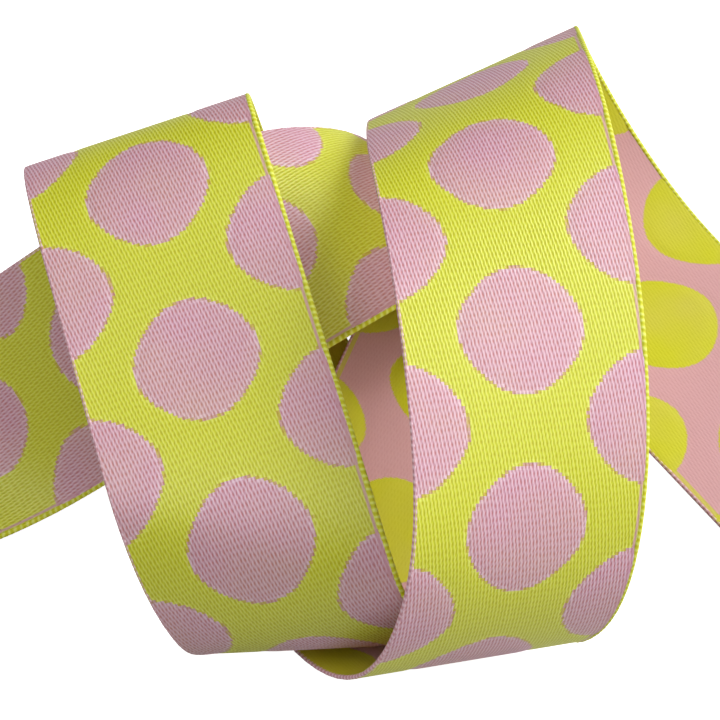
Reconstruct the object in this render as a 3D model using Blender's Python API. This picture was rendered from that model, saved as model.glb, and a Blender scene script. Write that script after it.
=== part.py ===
"""One length of narrow woven ribbon webbing, lying on a table in an open coil of two loops.

The ribbon bends but doesn't stretch, so its shape is a developable surface. It is walked in small
steps along its middle line, from the cut end of the right-hand tail, which lies flat on the table.
At each step it bends about one straight line that crosses it from edge to edge, its ruling. FOLDS
says, at named places along the ribbon, how fast it bends and how far the ruling is skewed from square
across. The solid joins each ruling to the next, on the ribbon's outer face and on its inner face.

The walk is in millimetres, and the mesh is written in metres, +Z up, with the origin at the middle of
the base of its box.
"""
from math import cos, radians, sin, tan

import bmesh
import bpy
from mathutils import Matrix, Vector

MM = 0.001
NODE = "ribbon"

WIDTH = 22.0          # a standard ribbon, 7/8 inch wide
THICKNESS = 1.0       # of the solid, which is thicker than the woven ribbon
STEP = 1.5            # length of one step along the ribbon
TAIL_HEADING = 126.0  # the way the right tail points, in degrees from +X, anticlockwise from above

# The place, its distance from the right tail's end (mm), how fast the ribbon bends there towards its
# inner face (degrees per cm), and the ruling's skew from square across (degrees).
FOLDS = (
    ("right tail's cut end", 0, 0, 0),
    ("right tail lifts off the table", 48, 0, -25),
    ("right loop, behind its foot", 60, 26.5, -27),
    ("right loop, tight curl at the back", 72, 61, -9),
    ("right loop, back eases", 84, 19.5, -8),
    ("right loop, back rises", 96, 6, -23),
    ("right loop, shoulder", 110, 26.5, -27),
    ("right loop, crest", 124, 11, -22),
    ("right loop, top of the front", 140, 17, -22),
    ("right loop, front", 154, 30.5, -3),
    ("right loop, front turns down", 168, 43.5, -8),
    ("right loop, front foot", 180, 29.5, -28),
    ("run on the table, hollow", 194, -8, -4),
    ("left loop, back rises", 210, 27, -2),
    ("left loop, back", 222, 21, -25),
    ("left loop, shoulder", 236, 34, -7),
    ("left loop, tight crest", 248, 64, 3),
    ("left loop, top of the front", 262, 4.5, -23),
    ("left loop, front, nearly flat", 278, -5.5, 7),
    ("left loop, front turns down", 292, 50.5, 25),
    ("left loop, front foot", 302, 37, 6),
    ("left loop, front foot turns under", 312, 49.5, 24),
    ("run inside the right loop, start", 322, 25.5, 25),
    ("run inside the right loop, hollow", 334, -12, 1),
    ("run inside the right loop, end", 346, -9.5, -23),
    ("inner curl, tightest", 356, 77.5, -17),
    ("inner curl, top", 366, 60, -12),
    ("inner curl, front", 378, 15, -34),
    ("left tail, comes off the curl", 394, 28.5, -32),
    ("left tail, slopes down", 410, 24, -5),
    ("left tail, starts to level", 426, -11, -31),
    ("left tail, levels", 440, -29.5, -39),
    ("left tail, settles", 452, -2, -37),
    ("left tail, flat on the table", 464, 0, -28),
    ("left tail's cut end", 480, 0, 0),
)
PLACE, DISTANCE, BEND, SKEW = range(4)


def read_folds(column, distance):
    """Return one column of FOLDS at a distance along the ribbon, in straight lines between its rows."""
    for low, high in zip(FOLDS, FOLDS[1:]):
        if distance <= high[DISTANCE]:
            share = (distance - low[DISTANCE]) / (high[DISTANCE] - low[DISTANCE])
            return low[column] + (high[column] - low[column]) * share
    return FOLDS[-1][column]


def ruling(along, across, distance):
    """Return the ruling's direction, scaled to reach one millimetre square across the ribbon."""
    return across + along * tan(radians(read_folds(SKEW, distance)))


def walk_rulings():
    """Walk along the ribbon and return its rulings, each as (middle, ruling, outward normal).

    A ruling where the ribbon doesn't bend is left out, so a flat stretch is one flat face.
    """
    heading = radians(TAIL_HEADING)
    middle = Vector((0.0, 0.0, THICKNESS / 2))
    along = Vector((cos(heading), sin(heading), 0.0))
    normal = Vector((0.0, 0.0, -1.0))
    across = normal.cross(along)

    rulings = [(middle.copy(), ruling(along, across, 0.0), normal.copy())]
    steps = round(FOLDS[-1][DISTANCE] / STEP)
    for step in range(steps):
        halfway = (step + 0.5) * STEP
        axis = ruling(along, across, halfway)
        turn = radians(read_folds(BEND, halfway)) / 10 * STEP * axis.length
        rotation = Matrix.Rotation(turn, 3, axis)
        turned = rotation @ along
        middle = middle + (along + turned) * (STEP / 2)
        along = turned
        across = rotation @ across
        normal = rotation @ normal

        distance = (step + 1) * STEP
        if step + 1 == steps or read_folds(BEND, halfway) or read_folds(BEND, distance + STEP / 2):
            rulings.append((middle.copy(), ruling(along, across, distance), normal.copy()))
    return rulings


def section(middle, across, normal):
    """Return the four corners of the ribbon's cross-section along one ruling, in order round it."""
    reach = across * (WIDTH / 2)
    rise = normal * (THICKNESS / 2)
    return (middle - reach + rise, middle + reach + rise, middle + reach - rise, middle - reach - rise)


def centred(sections):
    """Return the sections moved level, so that the middle of their box is over the origin."""
    corners = [corner for loop in sections for corner in loop]
    shift = Vector((
        (min(corner.x for corner in corners) + max(corner.x for corner in corners)) / 2,
        (min(corner.y for corner in corners) + max(corner.y for corner in corners)) / 2,
        0.0,
    ))
    return [[corner - shift for corner in loop] for loop in sections]


def ribbon_mesh():
    """Return the ribbon's closed mesh: its cross-sections bridged in turn, and both cut ends capped."""
    shape = bmesh.new()
    sections = centred([section(*ruling) for ruling in walk_rulings()])
    loops = [[shape.verts.new(corner * MM) for corner in loop] for loop in sections]
    for near, far in zip(loops, loops[1:]):
        for side in range(4):
            after = (side + 1) % 4
            shape.faces.new((near[side], far[side], far[after], near[after]))
    shape.faces.new(loops[0])
    shape.faces.new(reversed(loops[-1]))
    bmesh.ops.recalc_face_normals(shape, faces=shape.faces)
    bmesh.ops.triangulate(shape, faces=shape.faces)

    mesh = bpy.data.meshes.new(NODE)
    shape.to_mesh(mesh)
    shape.free()
    mesh.shade_smooth()
    mesh.set_sharp_from_angle(angle=radians(40))
    return mesh


def ribbon_material():
    """Return the woven ribbon's material: lime polyester with a soft sheen."""
    material = bpy.data.materials.new("lime_woven_ribbon")
    material.use_nodes = True
    shader = material.node_tree.nodes["Principled BSDF"]
    shader.inputs["Base Color"].default_value = (0.55, 0.60, 0.06, 1.0)
    shader.inputs["Roughness"].default_value = 0.6
    shader.inputs["Metallic"].default_value = 0.0
    return material


def main():
    """Clear the scene and build the ribbon."""
    for thing in list(bpy.data.objects):
        bpy.data.objects.remove(thing, do_unlink=True)
    mesh = ribbon_mesh()
    mesh.materials.append(ribbon_material())
    bpy.context.scene.collection.objects.link(bpy.data.objects.new(NODE, mesh))


main()
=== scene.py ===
"""Looks of one length of woven ribbon webbing, lying on a table in an open coil of two loops.

The ribbon is a double-faced jacquard: lime with pink dots on its outer face, pink with lime dots on
its inner face. Its lie is a developable surface, walked along its middle line from a table of folds.
Distances on the ribbon are in millimetres, along it from the right-hand tail's cut end and across it
from its middle, and meshes are written in metres, in the frame of the CAD model.
"""

import logging
from dataclasses import dataclass
from enum import Enum
from math import cos, pi, radians, sin
from typing import Any, Union

import bpy
import numpy as np
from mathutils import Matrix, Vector

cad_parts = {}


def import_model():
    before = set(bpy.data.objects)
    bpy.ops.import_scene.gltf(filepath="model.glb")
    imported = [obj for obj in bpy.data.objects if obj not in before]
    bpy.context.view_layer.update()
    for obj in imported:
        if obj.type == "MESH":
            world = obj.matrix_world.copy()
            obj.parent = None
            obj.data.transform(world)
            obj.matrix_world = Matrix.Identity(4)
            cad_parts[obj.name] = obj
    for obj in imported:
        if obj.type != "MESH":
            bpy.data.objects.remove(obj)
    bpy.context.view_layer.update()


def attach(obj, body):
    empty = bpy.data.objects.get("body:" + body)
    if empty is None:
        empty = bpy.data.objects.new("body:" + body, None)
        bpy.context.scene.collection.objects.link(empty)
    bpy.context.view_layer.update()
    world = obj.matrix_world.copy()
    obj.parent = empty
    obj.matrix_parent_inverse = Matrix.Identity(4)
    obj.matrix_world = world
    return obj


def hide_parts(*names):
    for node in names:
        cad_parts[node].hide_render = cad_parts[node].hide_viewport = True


LOG = logging.getLogger("ribbon")
NODE = "ribbon"         # the CAD model's node
FLAT_MAP = "flat"       # the UV map that holds the place on the flat ribbon
MM = 0.001              # a millimetre, in metres
SHARP_ANGLE = 60.0      # degrees that an edge turns before it is shaded sharp

Colour = tuple[float, float, float]
Place = tuple[float, float, float]
Span = tuple[float, float]


def linear(red: int, green: int, blue: int) -> Colour:
    """Turn a colour as seen on a screen into the linear numbers that shaders take.

    Up to 0.04045 a share of full brightness is divided by 12.92. Above that it has 0.055 added, is
    divided by 1.055 and is raised to the power 2.4.

    Args:
        red: from 0 to 255.
        green: from 0 to 255.
        blue: from 0 to 255.

    Returns:
        The three linear shares, from 0 to 1.
    """
    shares = np.array((red, green, blue)) / 255
    low = shares / 12.92
    high = ((shares + 0.055) / 1.055) ** 2.4
    return tuple(float(share) for share in np.where(shares <= 0.04045, low, high))


# ---------------------------------------------------------------------------------------------
# The ribbon's lie
# ---------------------------------------------------------------------------------------------

@dataclass(frozen=True)
class Fold:
    """How the ribbon bends at one place.

    Attributes:
        place: where it is, in words.
        distance: from the right tail's cut end, in mm.
        bend: towards the inner face, in degrees per cm.
        skew: of the line that it bends about, in degrees from square across.
    """

    place: str
    distance: float
    bend: float
    skew: float


FOLDS = (
    Fold("right tail's cut end", 0, 0, 0),
    Fold("right tail lifts off the table", 48, 0, -25),
    Fold("right loop, behind its foot", 60, 26.5, -27),
    Fold("right loop, tight curl at the back", 72, 61, -9),
    Fold("right loop, back eases", 84, 19.5, -8),
    Fold("right loop, back rises", 96, 6, -23),
    Fold("right loop, shoulder", 110, 26.5, -27),
    Fold("right loop, crest", 124, 11, -22),
    Fold("right loop, top of the front", 140, 17, -22),
    Fold("right loop, front", 154, 30.5, -3),
    Fold("right loop, front turns down", 168, 43.5, -8),
    Fold("right loop, front foot", 180, 29.5, -28),
    Fold("run on the table, hollow", 194, -8, -4),
    Fold("left loop, back rises", 210, 27, -2),
    Fold("left loop, back", 222, 21, -25),
    Fold("left loop, shoulder", 236, 34, -7),
    Fold("left loop, tight crest", 248, 64, 3),
    Fold("left loop, top of the front", 262, 4.5, -23),
    Fold("left loop, front, nearly flat", 278, -5.5, 7),
    Fold("left loop, front turns down", 292, 50.5, 25),
    Fold("left loop, front foot", 302, 37, 6),
    Fold("left loop, front foot turns under", 312, 49.5, 24),
    Fold("run inside the right loop, start", 322, 25.5, 25),
    Fold("run inside the right loop, hollow", 334, -12, 1),
    Fold("run inside the right loop, end", 346, -9.5, -23),
    Fold("inner curl, tightest", 356, 77.5, -17),
    Fold("inner curl, top", 366, 60, -12),
    Fold("inner curl, front", 378, 15, -34),
    Fold("left tail, comes off the curl", 394, 28.5, -32),
    Fold("left tail, slopes down", 410, 24, -5),
    Fold("left tail, starts to level", 426, -11, -31),
    Fold("left tail, levels", 440, -29.5, -39),
    Fold("left tail, settles", 452, -2, -37),
    Fold("left tail, flat on the table", 464, 0, -28),
    Fold("left tail's cut end", 480, 0, 0),
)


def between_folds(numbers: list[float], distance: np.ndarray) -> np.ndarray:
    """Return one number of each fold, read at some distances in straight lines between the folds."""
    return np.interp(distance, [fold.distance for fold in FOLDS], numbers)


@dataclass(frozen=True)
class Lie:
    """Where the ribbon lies: its rulings, the straight lines that cross it, in millimetres.

    Attributes:
        distance: of each ruling along the middle line.
        middle: the ruling's point on the middle line, on the middle of the CAD solid's thickness.
        ruling: the ruling's direction, scaled to reach 1 mm square across the ribbon.
        normal: out of the outer face.
        slope: how far the ruling runs along the ribbon for each millimetre across.
    """

    distance: np.ndarray
    middle: np.ndarray
    ruling: np.ndarray
    normal: np.ndarray
    slope: np.ndarray

    def at(self, distance: np.ndarray) -> "Lie":
        """Return the lie read at other distances, in straight lines between its rulings.

        Args:
            distance: along the middle line, in mm, in rising order.

        Returns:
            A lie with a ruling at each of these distances.
        """
        def read(values: np.ndarray) -> np.ndarray:
            """Read an array of points or directions at the distances."""
            return np.stack([np.interp(distance, self.distance, part) for part in values.T], axis=1)

        return Lie(distance, read(self.middle), read(self.ruling), read(self.normal),
                   np.interp(distance, self.distance, self.slope))

    def points(self, across: np.ndarray, height: np.ndarray) -> np.ndarray:
        """Return the points at each distance and each place across.

        A point is the middle point, plus the ruling times the place across, plus the normal times
        the height over the solid's middle.

        Args:
            across: places across the ribbon, one row or one per distance and place.
            height: heights over the middle of the solid, as many.

        Returns:
            An array of distances by places by 3, in mm.
        """
        across, height = np.broadcast_arrays(across, height)
        shape = (len(self.distance), across.shape[-1])
        across = np.broadcast_to(across, shape)[:, :, None]
        height = np.broadcast_to(height, shape)[:, :, None]
        return self.middle[:, None] + across * self.ruling[:, None] + height * self.normal[:, None]

    def flat(self, across: np.ndarray) -> np.ndarray:
        """Return the places along the flat ribbon of the points at each distance and place across."""
        return self.distance[:, None] + self.slope[:, None] * np.atleast_2d(across)


@dataclass(frozen=True)
class Walk:
    """The walk that lays the ribbon, the same as the CAD model's.

    Attributes:
        step: length of one step, in mm.
        heading: the way the right tail points, in degrees from +X, anticlockwise from above.
        width: of the solid, in mm.
        thickness: of the solid, in mm.
    """

    step: float = 1.5
    heading: float = 126.0
    width: float = 22.0
    thickness: float = 1.0

    def slope(self, distance: np.ndarray) -> np.ndarray:
        """Return how far the ruling runs along the ribbon for each millimetre across: tan(skew)."""
        return np.tan(np.radians(between_folds([fold.skew for fold in FOLDS], distance)))

    def turns(self, halfway: np.ndarray) -> np.ndarray:
        """Return the rotation that each step makes, seen in the ribbon's own axes.

        A step turns by its bend about the ruling, which has the slope of the skew along the ribbon
        and 1 across it. The matrix is 1 + sin(t) K + (1 - cos(t)) K K, with K the cross product
        with the ruling's unit direction.

        Args:
            halfway: the distance of the middle of each step, in mm.

        Returns:
            A 3 by 3 matrix for each step.
        """
        slope = self.slope(halfway)
        length = np.hypot(slope, 1)
        degrees_per_cm = between_folds([fold.bend for fold in FOLDS], halfway)
        turn = (np.radians(degrees_per_cm) / 10 * self.step * length)[:, None, None]
        cross = np.zeros((len(halfway), 3, 3))
        cross[:, 2, 0], cross[:, 0, 2] = -1 / length, 1 / length
        cross[:, 2, 1], cross[:, 1, 2] = slope / length, -slope / length
        return np.eye(3) + np.sin(turn) * cross + (1 - np.cos(turn)) * (cross @ cross)

    def axes(self, halfway: np.ndarray) -> np.ndarray:
        """Return the ribbon's axes at the start and after each step.

        The axes after a step are the start's axes times the rotations of all steps up to it. These
        running products are made by doubling: each pass joins each product to the one that ends
        where it starts, so that it reaches back twice as far.

        Args:
            halfway: the distance of the middle of each step, in mm.

        Returns:
            A 3 by 3 matrix for each place, with the columns along, across and out of the outer face.
        """
        heading = radians(self.heading)
        along = np.array((cos(heading), sin(heading), 0.0))
        down = np.array((0.0, 0.0, -1.0))
        start = np.stack((along, np.cross(down, along), down), axis=1)
        axes = np.concatenate((start[None], self.turns(halfway)))
        reach = 1
        while reach < len(axes):
            axes[reach:] = axes[:-reach] @ axes[reach:]
            reach *= 2
        return axes

    def lay(self) -> Lie:
        """Walk the ribbon: each step moves the middle by the mean of the headings at its two ends.

        Returns:
            The lie, with a ruling at each step's end, moved level so that the solid's box is centred.
        """
        distance = np.arange(round(FOLDS[-1].distance / self.step) + 1) * self.step
        axes = self.axes(distance[:-1] + self.step / 2)
        along, across, normal = axes[:, :, 0], axes[:, :, 1], axes[:, :, 2]
        middle = np.zeros((len(distance), 3))
        middle[1:] = np.cumsum((along[:-1] + along[1:]) / 2 * self.step, axis=0)
        middle[:, 2] += self.thickness / 2
        slope = self.slope(distance)
        lie = Lie(distance, middle, across + slope[:, None] * along, normal, slope)

        edges = np.array((-self.width, self.width, -self.width, self.width)) / 2
        faces = np.array((-self.thickness, -self.thickness, self.thickness, self.thickness)) / 2
        corners = lie.points(edges, faces).reshape(-1, 3)
        middle[:, :2] -= (corners.min(axis=0)[:2] + corners.max(axis=0)[:2]) / 2
        return lie


# ---------------------------------------------------------------------------------------------
# Meshes
# ---------------------------------------------------------------------------------------------

def grid_quads(index: np.ndarray) -> np.ndarray:
    """Return the quads of a grid of vertices, wound so that they face row step cross column step.

    Args:
        index: the vertices' numbers, by row and column.

    Returns:
        Four vertices for each face.
    """
    corners = (index[:-1, :-1], index[1:, :-1], index[1:, 1:], index[:-1, 1:])
    return np.stack([corner.ravel() for corner in corners], axis=1)


def strip_quads(near: np.ndarray, far: np.ndarray) -> np.ndarray:
    """Return the quads between two lines of vertices, from the near line to the far one."""
    return np.stack((near[:-1], near[1:], far[1:], far[:-1]), axis=1)


def make_piece(name: str, points: np.ndarray, quads: np.ndarray, flat: np.ndarray,
               materials: list[bpy.types.Material], finish: np.ndarray) -> bpy.types.Object:
    """Make an object at the origin from points in millimetres.

    Args:
        name: of the object.
        points: the vertices, in mm.
        quads: four vertices for each face.
        flat: the place of each vertex on the flat ribbon, for the UV map.
        materials: the finishes.
        finish: the material index of each face.

    Returns:
        The new object, shaded smooth.
    """
    mesh = bpy.data.meshes.new(name)
    mesh.vertices.add(len(points))
    mesh.vertices.foreach_set("co", (points * MM).astype(np.float32).ravel())
    mesh.loops.add(quads.size)
    mesh.loops.foreach_set("vertex_index", quads.astype(np.int32).ravel())
    mesh.polygons.add(len(quads))
    mesh.polygons.foreach_set("loop_start", np.arange(0, quads.size, 4, dtype=np.int32))
    mesh.polygons.foreach_set("material_index", finish.astype(np.int32))
    mesh.update(calc_edges=True)
    layer = mesh.uv_layers.new(name=FLAT_MAP)
    layer.uv.foreach_set("vector", flat[quads.ravel()].astype(np.float32).ravel())
    for material in materials:
        mesh.materials.append(material)
    mesh.validate()
    mesh.shade_smooth()
    mesh.set_sharp_from_angle(angle=radians(SHARP_ANGLE))
    piece = bpy.data.objects.new(name, mesh)
    bpy.context.scene.collection.objects.link(piece)
    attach(piece, "root")
    return piece


# ---------------------------------------------------------------------------------------------
# Shader maths
# ---------------------------------------------------------------------------------------------

@dataclass(frozen=True)
class Noise:
    """Smooth unevenness over the flat ribbon.

    Attributes:
        along: blots to a millimetre along.
        across: blots to a millimetre across, or to a turn round a cord.
        size: how far it swings in all, about half to each side of zero.
        detail: layers of finer blots.
        start: where it starts along, in blots, so that two kinds of unevenness differ.
    """

    along: float
    across: float
    size: float
    detail: float = 2.0
    start: float = 0.0


class Graph:
    """The nodes of one material or world."""

    def __init__(self, owner: Union[bpy.types.Material, bpy.types.World]) -> None:
        """Switch on the nodes of a new material or world.

        Args:
            owner: the material or world.
        """
        owner.use_nodes = True
        self.owner = owner
        self.tree = owner.node_tree

    def node(self, kind: str, settings: dict[str, Any],
             inputs: dict[Union[str, int], Any]) -> bpy.types.Node:
        """Add a node.

        Args:
            kind: the node's type.
            settings: its properties, which are set first.
            inputs: numbers, colours, sockets or values for its sockets, by name or place.

        Returns:
            The node.
        """
        node = self.tree.nodes.new(kind)
        for name, setting in settings.items():
            setattr(node, name, setting)
        self.feed(node, inputs)
        return node

    def feed(self, node: bpy.types.Node, inputs: dict[Union[str, int], Any]) -> None:
        """Link or set some of a node's sockets.

        Args:
            node: the node.
            inputs: numbers, colours, sockets or values for its sockets, by name or place.
        """
        for name, source in inputs.items():
            target = node.inputs[name]
            if isinstance(source, Value):
                source = source.socket
            if isinstance(source, bpy.types.NodeSocket):
                self.tree.links.new(source, target)
            elif target.type == "RGBA":
                target.default_value = (*source, 1.0)
            else:
                target.default_value = source

    def math(self, operation: str, *numbers: Any) -> "Value":
        """Add a Math node and return its value."""
        node = self.node("ShaderNodeMath", {"operation": operation}, dict(enumerate(numbers)))
        return Value(self, node.outputs[0])

    def mix(self, factor: Any, first: Any, second: Any) -> bpy.types.NodeSocket:
        """Mix two colours and return the result's socket."""
        node = self.node("ShaderNodeMix", {"data_type": "RGBA"}, {0: factor, 6: first, 7: second})
        return node.outputs[2]

    def flat_place(self) -> tuple["Value", "Value"]:
        """Read the UV map of the flat ribbon.

        Returns:
            The place along and the place across.
        """
        place = self.node("ShaderNodeUVMap", {"uv_map": FLAT_MAP}, {})
        parts = self.node("ShaderNodeSeparateXYZ", {}, {0: place.outputs[0]})
        return Value(self, parts.outputs[0]), Value(self, parts.outputs[1])

    def uneven(self, noise: Noise, along: "Value", across: "Value") -> "Value":
        """Return unevenness over the flat ribbon, as a number that swings about zero.

        Args:
            noise: its grain and size.
            along: the place along.
            across: the place across.

        Returns:
            The value.
        """
        place = self.node("ShaderNodeCombineXYZ", {}, {0: along * noise.along + noise.start,
                                                       1: across * noise.across})
        blots = self.node("ShaderNodeTexNoise", {"noise_dimensions": "2D"},
                          {"Vector": place.outputs[0], "Scale": 1.0, "Detail": noise.detail})
        return (Value(self, blots.outputs[0]) - 0.5) * noise.size

    def dress(self, colour: bpy.types.NodeSocket, height: "Value", relief: float,
              roughness: "Value", shine: float) -> bpy.types.Material:
        """Feed the material's Principled shader.

        Args:
            colour: the base colour.
            height: the height of the surface, for the bump.
            relief: how far a height of 1 stands up, in mm.
            roughness: of the surface.
            shine: its specular level.

        Returns:
            The finished material.
        """
        bump = self.node("ShaderNodeBump", {}, {"Height": height, "Strength": 1.0,
                                                "Distance": relief * MM})
        self.feed(self.tree.nodes["Principled BSDF"],
                  {"Base Color": colour, "Normal": bump.outputs[0], "Roughness": roughness,
                   "Specular IOR Level": shine})
        return self.owner


class Value:
    """A number that varies over a surface. Python's operators on it add Math nodes."""

    def __init__(self, graph: Graph, socket: bpy.types.NodeSocket) -> None:
        """Wrap a socket of a graph."""
        self.graph = graph
        self.socket = socket

    def __add__(self, other: Any) -> "Value":
        """Return self + other."""
        return self.graph.math("ADD", self, other)

    def __radd__(self, other: Any) -> "Value":
        """Return other + self."""
        return self.graph.math("ADD", other, self)

    def __sub__(self, other: Any) -> "Value":
        """Return self - other."""
        return self.graph.math("SUBTRACT", self, other)

    def __rsub__(self, other: Any) -> "Value":
        """Return other - self."""
        return self.graph.math("SUBTRACT", other, self)

    def __mul__(self, other: Any) -> "Value":
        """Return self * other."""
        return self.graph.math("MULTIPLY", self, other)

    def __rmul__(self, other: Any) -> "Value":
        """Return other * self."""
        return self.graph.math("MULTIPLY", other, self)

    def __truediv__(self, other: Any) -> "Value":
        """Return self / other."""
        return self.graph.math("DIVIDE", self, other)

    def __rtruediv__(self, other: Any) -> "Value":
        """Return other / self."""
        return self.graph.math("DIVIDE", other, self)

    def __abs__(self) -> "Value":
        """Return the size of self."""
        return self.graph.math("ABSOLUTE", self)


Field = Union[Value, np.ndarray]


def floor_of(value: Field) -> Field:
    """Round down, for an array or a shader value."""
    return value.graph.math("FLOOR", value) if isinstance(value, Value) else np.floor(value)


def root_of(value: Field) -> Field:
    """Take the square root, for an array or a shader value."""
    return value.graph.math("SQRT", value) if isinstance(value, Value) else np.sqrt(value)


def wave_of(cycles: Value) -> Value:
    """Take the cosine of a number of full turns."""
    return cycles.graph.math("COSINE", cycles * (2 * pi))


def lesser_of(first: Field, second: Field) -> Field:
    """Take the lesser of two arrays or two shader values."""
    shader = isinstance(first, Value)
    return first.graph.math("MINIMUM", first, second) if shader else np.minimum(first, second)


def above_zero(value: Field) -> Field:
    """Return 1 where an array or a shader value is over zero and 0 elsewhere."""
    shader = isinstance(value, Value)
    return value.graph.math("GREATER_THAN", value, 0.0) if shader else np.where(value > 0, 1.0, 0.0)


def rise_of(value: Field, low: float, high: float) -> Field:
    """Return a smooth step: share share (3 - 2 share), where share runs from 0 at low to 1 at high.

    Args:
        value: an array or a shader value.
        low: where the step starts.
        high: where it ends.

    Returns:
        The step, of the same kind as the value.
    """
    if isinstance(value, Value):
        node = value.graph.node("ShaderNodeMapRange", {"interpolation_type": "SMOOTHSTEP"},
                                {0: value, 1: low, 2: high})
        return Value(value.graph, node.outputs[0])
    share = np.clip((value - low) / (high - low), 0, 1)
    return share * share * (3 - 2 * share)


# ---------------------------------------------------------------------------------------------
# Pattern and weave
# ---------------------------------------------------------------------------------------------

@dataclass(frozen=True)
class Dots:
    """The dots: one row down the middle, and a row of halves on each edge between them.

    Attributes:
        pitch: from one dot to the next along the ribbon, in mm.
        first: place along of one middle dot, in mm.
        offset: of the whole pattern across, in mm.
        edge: from the middle row to each edge row, in mm.
        left_phase: how far the left edge's row is ahead of the middle row, in pitches.
        right_phase: how far the right edge's row is.
        radius: mean radius, in mm.
        oval: share by which a dot is longer one way.
        oval_turn: that way, in degrees from along the ribbon.
        square: share by which a dot stands out along and across the ribbon.
        tiny: square mm that keep the sums finite at a dot's middle.
    """

    pitch: float = 17.76
    first: float = 7.95
    offset: float = -0.32
    edge: float = 11.25
    left_phase: float = 0.5
    right_phase: float = 0.447
    radius: float = 5.66
    oval: float = 0.027
    oval_turn: float = -32.0
    square: float = 0.026
    tiny: float = 1e-6

    def one(self, along: Field, across: Field) -> Field:
        """Return how far a point is outside one dot.

        The dot's radius is its mean, times 1 + oval cos 2(t - turn) + square cos 4t, where t is the
        point's angle, so cos 2t is (x x - y y) / rr and sin 2t is 2 x y / rr.

        Args:
            along: the point's place along from the dot's middle, in mm.
            across: its place across from there, in mm.

        Returns:
            The distance in mm, negative inside the dot.
        """
        squared = along * along + across * across + self.tiny
        twice_cos = (along * along - across * across) / squared
        twice_sin = along * across * 2.0 / squared
        turn = radians(self.oval_turn) * 2
        swell = (twice_cos * (self.oval * cos(turn)) + twice_sin * (self.oval * sin(turn))
                 + (twice_cos * twice_cos * 2.0 - 1.0) * self.square)
        return root_of(squared) - (swell + 1.0) * self.radius

    def outside(self, along: Field, across: Field) -> Field:
        """Return how far a point is outside the nearest dot.

        The nearest dot of a row is found by rounding the place along, counted in pitches. A point on
        the right half is measured from the right edge's row, and any other from the left edge's.

        Args:
            along: the point's place along the flat ribbon, in mm.
            across: its place across, in mm.

        Returns:
            The distance in mm, negative inside a dot.
        """
        turn = (along - self.first) / self.pitch
        middle = (turn - floor_of(turn + 0.5)) * self.pitch
        right = above_zero(across)
        turn = turn - (right * (self.right_phase - self.left_phase) + self.left_phase)
        beside = (turn - floor_of(turn + 0.5)) * self.pitch
        across = across - self.offset
        from_edge = across - (right * (2 * self.edge) - self.edge)
        return lesser_of(self.one(middle, across), self.one(beside, from_edge))


@dataclass(frozen=True)
class Weave:
    """The satin weave of the warp's floats, as three waves over the flat ribbon.

    The yarns run along the ribbon, leaning a little, and picks of weft bind them in rows, so each
    groove between two yarns is a row of short dashes, which the yarns' deep colour darkens with
    painted shade.

    Attributes:
        yarns: to a millimetre across.
        lean: yarns that a float crosses to a millimetre along.
        picks: rows of dashes to a millimetre along.
        slant: rows that a yarn crosses to a millimetre across.
        dashes: strength of the dashes' wave, next to the yarns' wave.
        rows: strength of the rows' wave.
        lowest: about the least sum of the three waves.
        span: about how far their sum rises from there.
        yarn_wander: unevenness of the yarns, in yarns.
        row_wander: unevenness of the rows, in rows.
    """

    yarns: float = 2.97
    lean: float = -0.5
    picks: float = 1.6
    slant: float = 0.1
    dashes: float = 0.5
    rows: float = 0.3
    lowest: float = -1.7
    span: float = 3.1
    yarn_wander: Noise = Noise(0.7, 1.75, 0.3)
    row_wander: Noise = Noise(0.66, 3.3, 1.2, start=55.0)

    def height(self, graph: Graph, along: Value, across: Value) -> Value:
        """Return the height of the floats: cos(yarn) + dashes cos(yarn + row) - rows cos(row).

        Args:
            graph: the material's nodes.
            along: the place along the flat ribbon, in mm.
            across: the place across, in mm.

        Returns:
            The height, from 0 in a dash to 1 on a yarn.
        """
        yarn = (across * self.yarns + along * self.lean
                + graph.uneven(self.yarn_wander, along, across))
        row = (along * self.picks + across * self.slant
               + graph.uneven(self.row_wander, along, across))
        height = wave_of(yarn) + wave_of(yarn + row) * self.dashes - wave_of(row) * self.rows
        return (height - self.lowest) / self.span


class Side(Enum):
    """The ribbon's two faces."""

    OUTER = "outer"
    INNER = "inner"


@dataclass(frozen=True)
class Yarn:
    """The colours of one yarn.

    Attributes:
        deep: down beside the yarn, darker with painted shade.
        flank: on its side.
        crown: on its top, paler with a painted highlight.
    """

    deep: Colour
    flank: Colour
    crown: Colour

    def colour(self, graph: Graph, height: Value, flank: float,
               overlap: float = 0.05) -> bpy.types.NodeSocket:
        """Blend the yarn's colours over a height: deep at 0, then flank, then crown at 1.

        Args:
            graph: the material's nodes.
            height: of the surface.
            flank: the height where the flank's colour is full.
            overlap: how far below that the crown's colour starts.

        Returns:
            The colour's socket.
        """
        # painted shade low in the grooves, then the flank, then a painted highlight on the crown
        low = graph.mix(rise_of(height, 0.0, flank), self.deep, self.flank)
        return graph.mix(rise_of(height, flank - overlap, 1.0), low, self.crown)


# Deep colours are the yarns in painted shade, crown colours the yarns under a painted highlight
LIME = Yarn(linear(178, 170, 4), linear(195, 198, 24), linear(216, 221, 100))
PINK = Yarn(linear(184, 108, 112), linear(198, 144, 161), linear(222, 192, 207))
LIME_INSIDE = Yarn(linear(184, 181, 12), linear(202, 202, 36), linear(210, 210, 54))
PINK_INSIDE = Yarn(linear(196, 140, 140), linear(210, 160, 162), linear(218, 176, 180))
LIME_CORD = Yarn(linear(192, 192, 26), linear(204, 208, 50), linear(218, 224, 110))
PINK_ROLL = Yarn(linear(196, 140, 146), linear(210, 164, 174), linear(226, 194, 204))
# The dark outline round each dot on each face: painted shade in its furrow
OUTER_FURROW_SHADE = linear(170, 96, 34)
INNER_FURROW_SHADE = linear(196, 150, 90)


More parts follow.
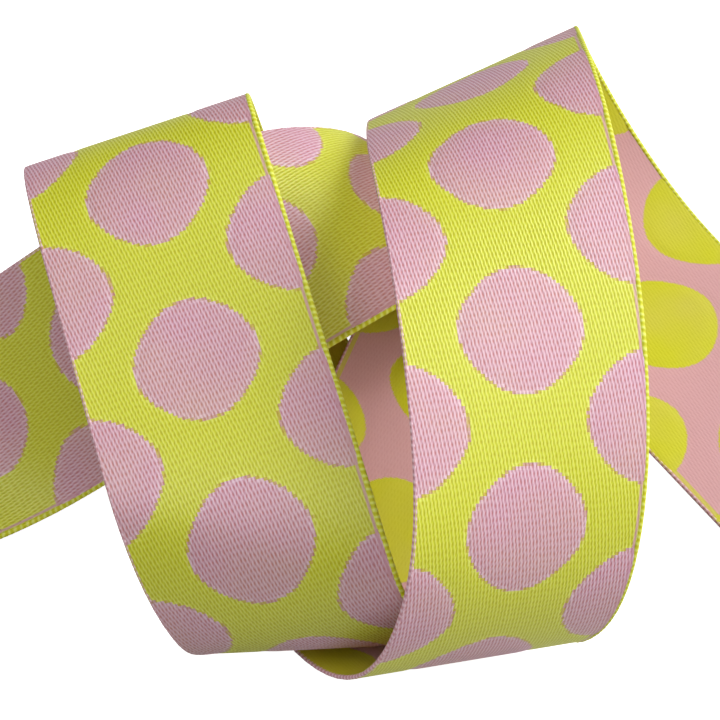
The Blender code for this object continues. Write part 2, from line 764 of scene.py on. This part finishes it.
@dataclass(frozen=True)
class WovenFinish:
    """A woven face's finish: two yarns that change places at the dots.

    Attributes:
        side: which face it is.
        ground: the yarn of the ground.
        spot: the yarn of the dots.
        furrow_shade: the dark colour in the furrow round each dot, painted shade.
        step_along: the size of the jacquard's steps round a dot along the ribbon, in mm.
        step_across: their size across it, in mm.
        contrast: how strongly the weave shows, from 0 to 1.
        piping: where the line of the dots' yarn beside a selvedge starts and ends, in mm across.
        shine: of the satin's floats.
        relief: height of the weave in the bump, in mm.
        mean: the weave's mean height, which its contrast leaves alone.
        flank: the height where a yarn's flank is full.
        blend: half the width of a change of yarn, in mm.
        rim: where the furrow round a dot starts to fade and ends, in mm from a dot's edge.
        rim_colour: share of the painted shade's colour that the furrow shows.
        rim_depth: how deep the furrow lies in the bump, in reliefs.
        ends: where the painted highlight on the floats' ends, raised beside the rim, starts to fade
            and ends, in mm.
        ends_highlight: how much higher they are coloured, which lightens them as a painted highlight.
        piping_colour: share of its own colour that the piping shows.
        rough: roughness in a dash.
        smoother: how much less it is on a yarn.
        ragged: unevenness of a dot's steps, in mm.
        clouds: unevenness of the share of plain ground colour that washes over the face.
        wash: that share's mean.
    """

    side: Side
    ground: Yarn
    spot: Yarn
    furrow_shade: Colour
    step_along: float
    step_across: float
    contrast: float = 0.82
    piping: Span = (10.34, 10.6)
    shine: float = 0.6
    relief: float = 0.04
    mean: float = 0.55
    flank: float = 0.5
    blend: float = 0.04
    rim: Span = (0.03, 0.17)
    rim_colour: float = 0.6
    rim_depth: float = 0.6
    ends: Span = (0.12, 0.5)
    ends_highlight: float = 0.25
    piping_colour: float = 0.8
    rough: float = 0.62
    smoother: float = 0.22
    ragged: Noise = Noise(3.1, 2.3, 0.3, detail=0.0)
    clouds: Noise = Noise(0.12, 0.12, 0.25)
    wash: float = 0.05

    def stepped_outside(self, graph: Graph, along: Value, across: Value) -> Value:
        """Return how far a point is outside the dots, in the jacquard's uneven steps.

        Args:
            graph: the material's nodes.
            along: the place along the flat ribbon, in mm.
            across: the place across, in mm.

        Returns:
            The distance in mm, negative inside a dot and the same all over each step.
        """
        along = (floor_of(along / self.step_along) + 0.5) * self.step_along
        across = (floor_of(across / self.step_across) + 0.5) * self.step_across
        return Dots().outside(along, across) + graph.uneven(self.ragged, along, across) * self.contrast

    def beside_dots(self, outside: Value, fade: Span) -> Value:
        """Return the contrast on a dot's edge, which fades out between two distances from it."""
        return (1.0 - rise_of(abs(outside), *fade)) * self.contrast

    def on_piping(self, across: Value) -> Value:
        """Return 1 on the piping and 0 elsewhere."""
        start, end = (rise_of(across, side - self.blend, side + self.blend) for side in self.piping)
        return start * (1.0 - end)

    def material(self) -> bpy.types.Material:
        """Build the material, from the waves of the weave and the distance outside the dots.

        Returns:
            The material.
        """
        graph = Graph(bpy.data.materials.new(f"{self.side.value}_face_weave"))
        along, across = graph.flat_place()
        height = (Weave().height(graph, along, across) - self.mean) * self.contrast + self.mean
        outside = self.stepped_outside(graph, along, across)
        rim = self.beside_dots(outside, self.rim)
        # painted highlight on the floats' ends beside each dot, in the colour only, not the bump
        lit = height + self.beside_dots(outside, self.ends) * self.ends_highlight

        colour = graph.mix(rise_of(outside, -self.blend, self.blend),
                           self.spot.colour(graph, lit, self.flank),
                           self.ground.colour(graph, lit, self.flank))
        # painted shade in the furrow round each dot
        colour = graph.mix(rim * self.rim_colour, colour, self.furrow_shade)
        colour = graph.mix(self.on_piping(across) * self.piping_colour, colour, self.spot.flank)
        clouds = graph.uneven(self.clouds, along, across) + self.wash
        colour = graph.mix(clouds, colour, self.ground.flank)
        return graph.dress(colour, height - rim * self.rim_depth, self.relief,
                           self.rough - height * self.smoother, self.shine)


@dataclass(frozen=True)
class CordFinish:
    """A selvedge cord's finish: slanted stitches of one yarn, dark between them.

    Attributes:
        name: of the material.
        yarn: its colours, with painted shade between the stitches and a painted highlight on them.
        stitches: to a millimetre along.
        slant: how many stitches the slant climbs in one turn round the cord.
        wander: unevenness of the stitches, in stitches.
        flank: the height where the yarn's flank is full.
        relief: height of the stitches in the bump, in mm.
        rough: roughness between stitches.
        smoother: how much less it is on a stitch.
        shine: specular level.
    """

    name: str
    yarn: Yarn
    stitches: float = 1.6
    slant: float = 0.5
    wander: Noise = Noise(1.5, 1.5, 0.5)
    flank: float = 0.55
    relief: float = 0.015
    rough: float = 0.65
    smoother: float = 0.15
    shine: float = 0.35

    def material(self) -> bpy.types.Material:
        """Build the material, with the stitches' height from a wave along and round the cord.

        Returns:
            The material.
        """
        graph = Graph(bpy.data.materials.new(self.name))
        along, around = graph.flat_place()
        stitch = (along * self.stitches + around * self.slant
                  + graph.uneven(self.wander, along, around))
        height = wave_of(stitch) * 0.5 + 0.5
        # the yarn's colours give painted shade between the stitches and a painted highlight on their
        # tops
        return graph.dress(self.yarn.colour(graph, height, self.flank), height, self.relief,
                           self.rough - height * self.smoother, self.shine)


# ---------------------------------------------------------------------------------------------
# Pieces
# ---------------------------------------------------------------------------------------------

@dataclass
class Ribbon:
    """The woven sheet.

    Attributes:
        lie: where it lies.
        width: in mm.
        length: in mm.
        face: height of each face over the middle of the CAD solid, in mm.
        rows: of points along.
        columns: of points across.
        puff: how far the dots stand proud, in mm.
        puff_slope: how far inside its edge a dot is at its full height, in mm.
        furrow: how deep the furrow round them lies, in mm.
        furrow_slope: how far from a dot's edge the furrow ends, in mm.
    """

    lie: Lie
    width: float = 22.0
    length: float = 480.0
    face: float = 0.2
    rows: int = 641
    columns: int = 57
    puff: float = 0.04
    puff_slope: float = 1.2
    furrow: float = 0.05
    furrow_slope: float = 0.5

    def relief(self, along: np.ndarray, across: np.ndarray) -> np.ndarray:
        """Return the height of a face's own relief: each dot stands proud inside a shallow furrow.

        Args:
            along: places along the flat ribbon, in mm.
            across: places across it, in mm.

        Returns:
            The height at each place, in mm. It is 0 down both edges.
        """
        outside = Dots().outside(along, across)
        proud = rise_of(-outside, 0.0, self.puff_slope) * self.puff
        relief = proud - (1 - rise_of(abs(outside), 0.0, self.furrow_slope)) * self.furrow
        relief[:, [0, -1]] = 0
        return relief

    def finishes(self) -> list[bpy.types.Material]:
        """Make the finishes of the two faces.

        Returns:
            The outer face's and the inner face's.
        """
        outer = WovenFinish(Side.OUTER, LIME, PINK, OUTER_FURROW_SHADE,
                            step_along=0.5 / Weave.picks, step_across=1 / Weave.yarns)
        inner = WovenFinish(Side.INNER, PINK_INSIDE, LIME_INSIDE, INNER_FURROW_SHADE, step_along=0.16,
                            step_across=0.17, contrast=0.25, piping=(-10.8, -10.35), shine=0.2)
        return [outer.material(), inner.material()]

    def build(self) -> bpy.types.Object:
        """Build the sheet: an outer and an inner grid joined round their four edges.

        Returns:
            The sheet.
        """
        lie = self.lie.at(np.linspace(0, self.length, self.rows))
        across = np.linspace(-self.width / 2, self.width / 2, self.columns)[None]
        along = lie.flat(across)
        flat = np.stack(np.broadcast_arrays(along, across), axis=2).reshape(-1, 2)
        height = self.face + self.relief(along, np.broadcast_to(across, along.shape))
        points = np.concatenate((lie.points(across, height), lie.points(across, -height)))

        top = np.arange(self.rows * self.columns).reshape(self.rows, self.columns)
        under = top + top.size
        face = grid_quads(top)
        back = grid_quads(under)[:, ::-1]
        rims = np.concatenate((strip_quads(under[:, 0], top[:, 0]),
                               strip_quads(top[:, -1], under[:, -1]),
                               strip_quads(top[0], under[0]),
                               strip_quads(under[-1], top[-1])))
        finish = np.concatenate((np.zeros(len(face)), np.ones(len(back)), np.zeros(len(rims))))
        return make_piece("woven_ribbon", points.reshape(-1, 3), np.concatenate((face, back, rims)),
                          np.concatenate((flat, flat)), self.finishes(), finish)


@dataclass
class SelvedgeCord:
    """A corded or rolled edge of the ribbon, on the middle of its thickness.

    Attributes:
        name: of the piece.
        lie: where the ribbon lies.
        finish: its finish.
        across: place of its middle across the ribbon, in mm.
        radius: in mm.
        length: in mm.
        rows: of points along.
        sides: of its section, an even number.
        lobes: share by which it swells at a stitch.
    """

    name: str
    lie: Lie
    finish: CordFinish
    across: float
    radius: float
    length: float = 480.0
    rows: int = 3201
    sides: int = 8
    lobes: float = 0.04

    def build(self) -> bpy.types.Object:
        """Build the cord: a round section that swells at each stitch, carried along the edge.

        A point is the section's middle, plus the radius times (cos(t) outward + sin(t) normal). The
        radius is its mean times 1 + lobes cos(2 pi stitches s + slant t), at a place s along.

        Returns:
            The cord, closed at both ends.
        """
        lie = self.lie.at(np.linspace(0, self.length, self.rows))
        middle = lie.points(np.array([self.across]), np.zeros(1))
        heading = np.gradient(middle[:, 0], axis=0)
        heading /= np.linalg.norm(heading, axis=1, keepdims=True)
        outward = np.cross(lie.normal, heading)[:, None]
        along = lie.flat(np.array([self.across]))
        turns = np.arange(self.sides) / self.sides
        angle = turns * 2 * pi
        swell = np.cos(2 * pi * self.finish.stitches * along + self.finish.slant * angle)
        radius = self.radius * (1 + self.lobes * swell[:, :, None])
        around = angle[None, :, None]
        points = middle + radius * (np.cos(around) * outward + np.sin(around) * lie.normal[:, None])

        index = np.arange(self.rows * self.sides).reshape(self.rows, self.sides)
        tube = grid_quads(np.concatenate((index, index[:, :1]), axis=1).T)
        half = self.sides // 2
        start, end = (strip_quads(ring[:half], ring[::-1][:half]) for ring in (index[0], index[-1]))
        quads = np.concatenate((tube, start[:, ::-1], end))
        flat = np.stack(np.broadcast_arrays(along, turns), axis=2)
        return make_piece(self.name, points.reshape(-1, 3), quads, flat.reshape(-1, 2),
                          [self.finish.material()], np.zeros(len(quads)))


# ---------------------------------------------------------------------------------------------
# Studio
# ---------------------------------------------------------------------------------------------

@dataclass(frozen=True)
class Softbox:
    """A square soft light.

    Attributes:
        name: of the light.
        place: of its middle, in metres.
        power: in watts.
        side: of the square, in metres.
    """

    name: str
    place: Place
    power: float
    side: float = 0.45

    def hang(self, target: Vector) -> None:
        """Hang the light so that it faces a point.

        Args:
            target: the point, in metres.
        """
        lamp = bpy.data.lights.new(self.name, "AREA")
        lamp.shape = "SQUARE"
        lamp.size = self.side
        lamp.energy = self.power
        light = bpy.data.objects.new(self.name, lamp)
        light.location = self.place
        light.rotation_euler = (target - light.location).to_track_quat("-Z", "Y").to_euler()
        bpy.context.scene.collection.objects.link(light)


@dataclass(frozen=True)
class Table:
    """The plain pale floor, which is white to the camera and throws light back as a table does.

    Attributes:
        half: of its side, in metres.
        drop: how far it lies below the ribbon, in metres, so that the two don't touch.
        tone: the share of light that it throws back.
        rough: roughness.
    """

    half: float = 1.5
    drop: float = 0.0002
    tone: float = 0.6
    rough: float = 0.9

    def build(self) -> None:
        """Lay the floor, with a glow that only the camera sees and that lights nothing."""
        graph = Graph(bpy.data.materials.new("white_floor"))
        pale = graph.tree.nodes["Principled BSDF"]
        graph.feed(pale, {"Base Color": (self.tone,) * 3, "Roughness": self.rough})
        glow = graph.node("ShaderNodeEmission", {}, {"Strength": 1.0})
        white = graph.node("ShaderNodeAddShader", {}, {0: pale.outputs[0], 1: glow.outputs[0]})
        ray = graph.node("ShaderNodeLightPath", {}, {})
        seen = graph.node("ShaderNodeMixShader", {}, {0: ray.outputs["Is Camera Ray"],
                                                      1: pale.outputs[0], 2: white.outputs[0]})
        graph.feed(graph.tree.nodes["Material Output"], {"Surface": seen.outputs[0]})

        mesh = bpy.data.meshes.new("floor")
        corners = [(x, y, -self.drop) for x, y in ((-self.half, -self.half), (self.half, -self.half),
                                                   (self.half, self.half), (-self.half, self.half))]
        mesh.from_pydata(corners, [], [(0, 1, 2, 3)])
        mesh.materials.append(graph.owner)
        floor = bpy.data.objects.new("floor", mesh)
        bpy.context.scene.collection.objects.link(floor)


@dataclass(frozen=True)
class Studio:
    """The floor, the soft lights, the world and the camera.

    Attributes:
        target: what the camera looks at, in metres.
        distance: from the target to the camera, in metres.
        elevation: of the camera over the floor, in degrees.
        lens: focal length, in mm.
        sensor: width of the camera's sensor, in mm.
        near: the nearest that the camera sees, in metres.
        softboxes: the lights.
    """

    target: Place = (0.00898, 0.00772, 0.0)
    distance: float = 0.32684
    elevation: float = 53.666
    lens: float = 164.1045
    sensor: float = 36.0
    near: float = 0.01
    softboxes: tuple[Softbox, ...] = (
        Softbox("right_softbox", (0.79, 0.16, 0.40), 3.9),
        Softbox("low_right_softbox", (0.86, -0.18, 0.23), 2.6),
        Softbox("back_right_softbox", (0.54, 0.36, 0.63), 5.1),
        Softbox("left_softbox", (-0.45, -0.27, 0.72), 3.1),
        Softbox("top_softbox", (0.1, -0.3, 0.85), 1.8),
    )

    def world(self) -> None:
        """Make the world, which is white to the camera and throws no light on the ribbon."""
        graph = Graph(bpy.data.worlds.new("studio"))
        ray = graph.node("ShaderNodeLightPath", {}, {})
        graph.feed(graph.tree.nodes["Background"],
                   {"Color": (1.0, 1.0, 1.0), "Strength": ray.outputs["Is Camera Ray"]})
        bpy.context.scene.world = graph.owner

    def camera(self) -> None:
        """Set the camera up, in front of the ribbon and looking down on it."""
        lens = bpy.data.cameras.new("camera")
        lens.sensor_width = self.sensor
        lens.lens = self.lens
        lens.clip_start = self.near
        camera = bpy.data.objects.new("camera", lens)
        lift = radians(self.elevation)
        away = Vector((0.0, -cos(lift), sin(lift))) * self.distance
        camera.location = Vector(self.target) + away
        camera.rotation_euler = (-away).to_track_quat("-Z", "Y").to_euler()
        bpy.context.scene.collection.objects.link(camera)
        bpy.context.scene.camera = camera

    def build(self) -> None:
        """Set up the whole studio, and show its colours as they are, with no film curve."""
        bpy.context.scene.view_settings.view_transform = "Standard"
        Table().build()
        for softbox in self.softboxes:
            softbox.hang(Vector(self.target))
        self.world()
        self.camera()


def main() -> None:
    """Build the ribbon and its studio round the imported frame."""
    logging.basicConfig(level=logging.INFO, format="%(message)s")
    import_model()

    lie = Walk().lay()
    ribbon = Ribbon(lie).build()
    lime_cord = SelvedgeCord("lime_selvedge", lie, CordFinish("lime_cord", LIME_CORD),
                             across=10.85, radius=0.28).build()
    pink_roll = SelvedgeCord("pink_selvedge", lie, CordFinish("pink_roll", PINK_ROLL),
                             across=-10.9, radius=0.22).build()
    for piece in (ribbon, lime_cord, pink_roll):
        LOG.info("%s: %d faces", piece.name, len(piece.data.polygons))
    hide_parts(NODE)
    Ribbon.width * MM
    Studio().build()


if __name__ == "__main__":
    main()
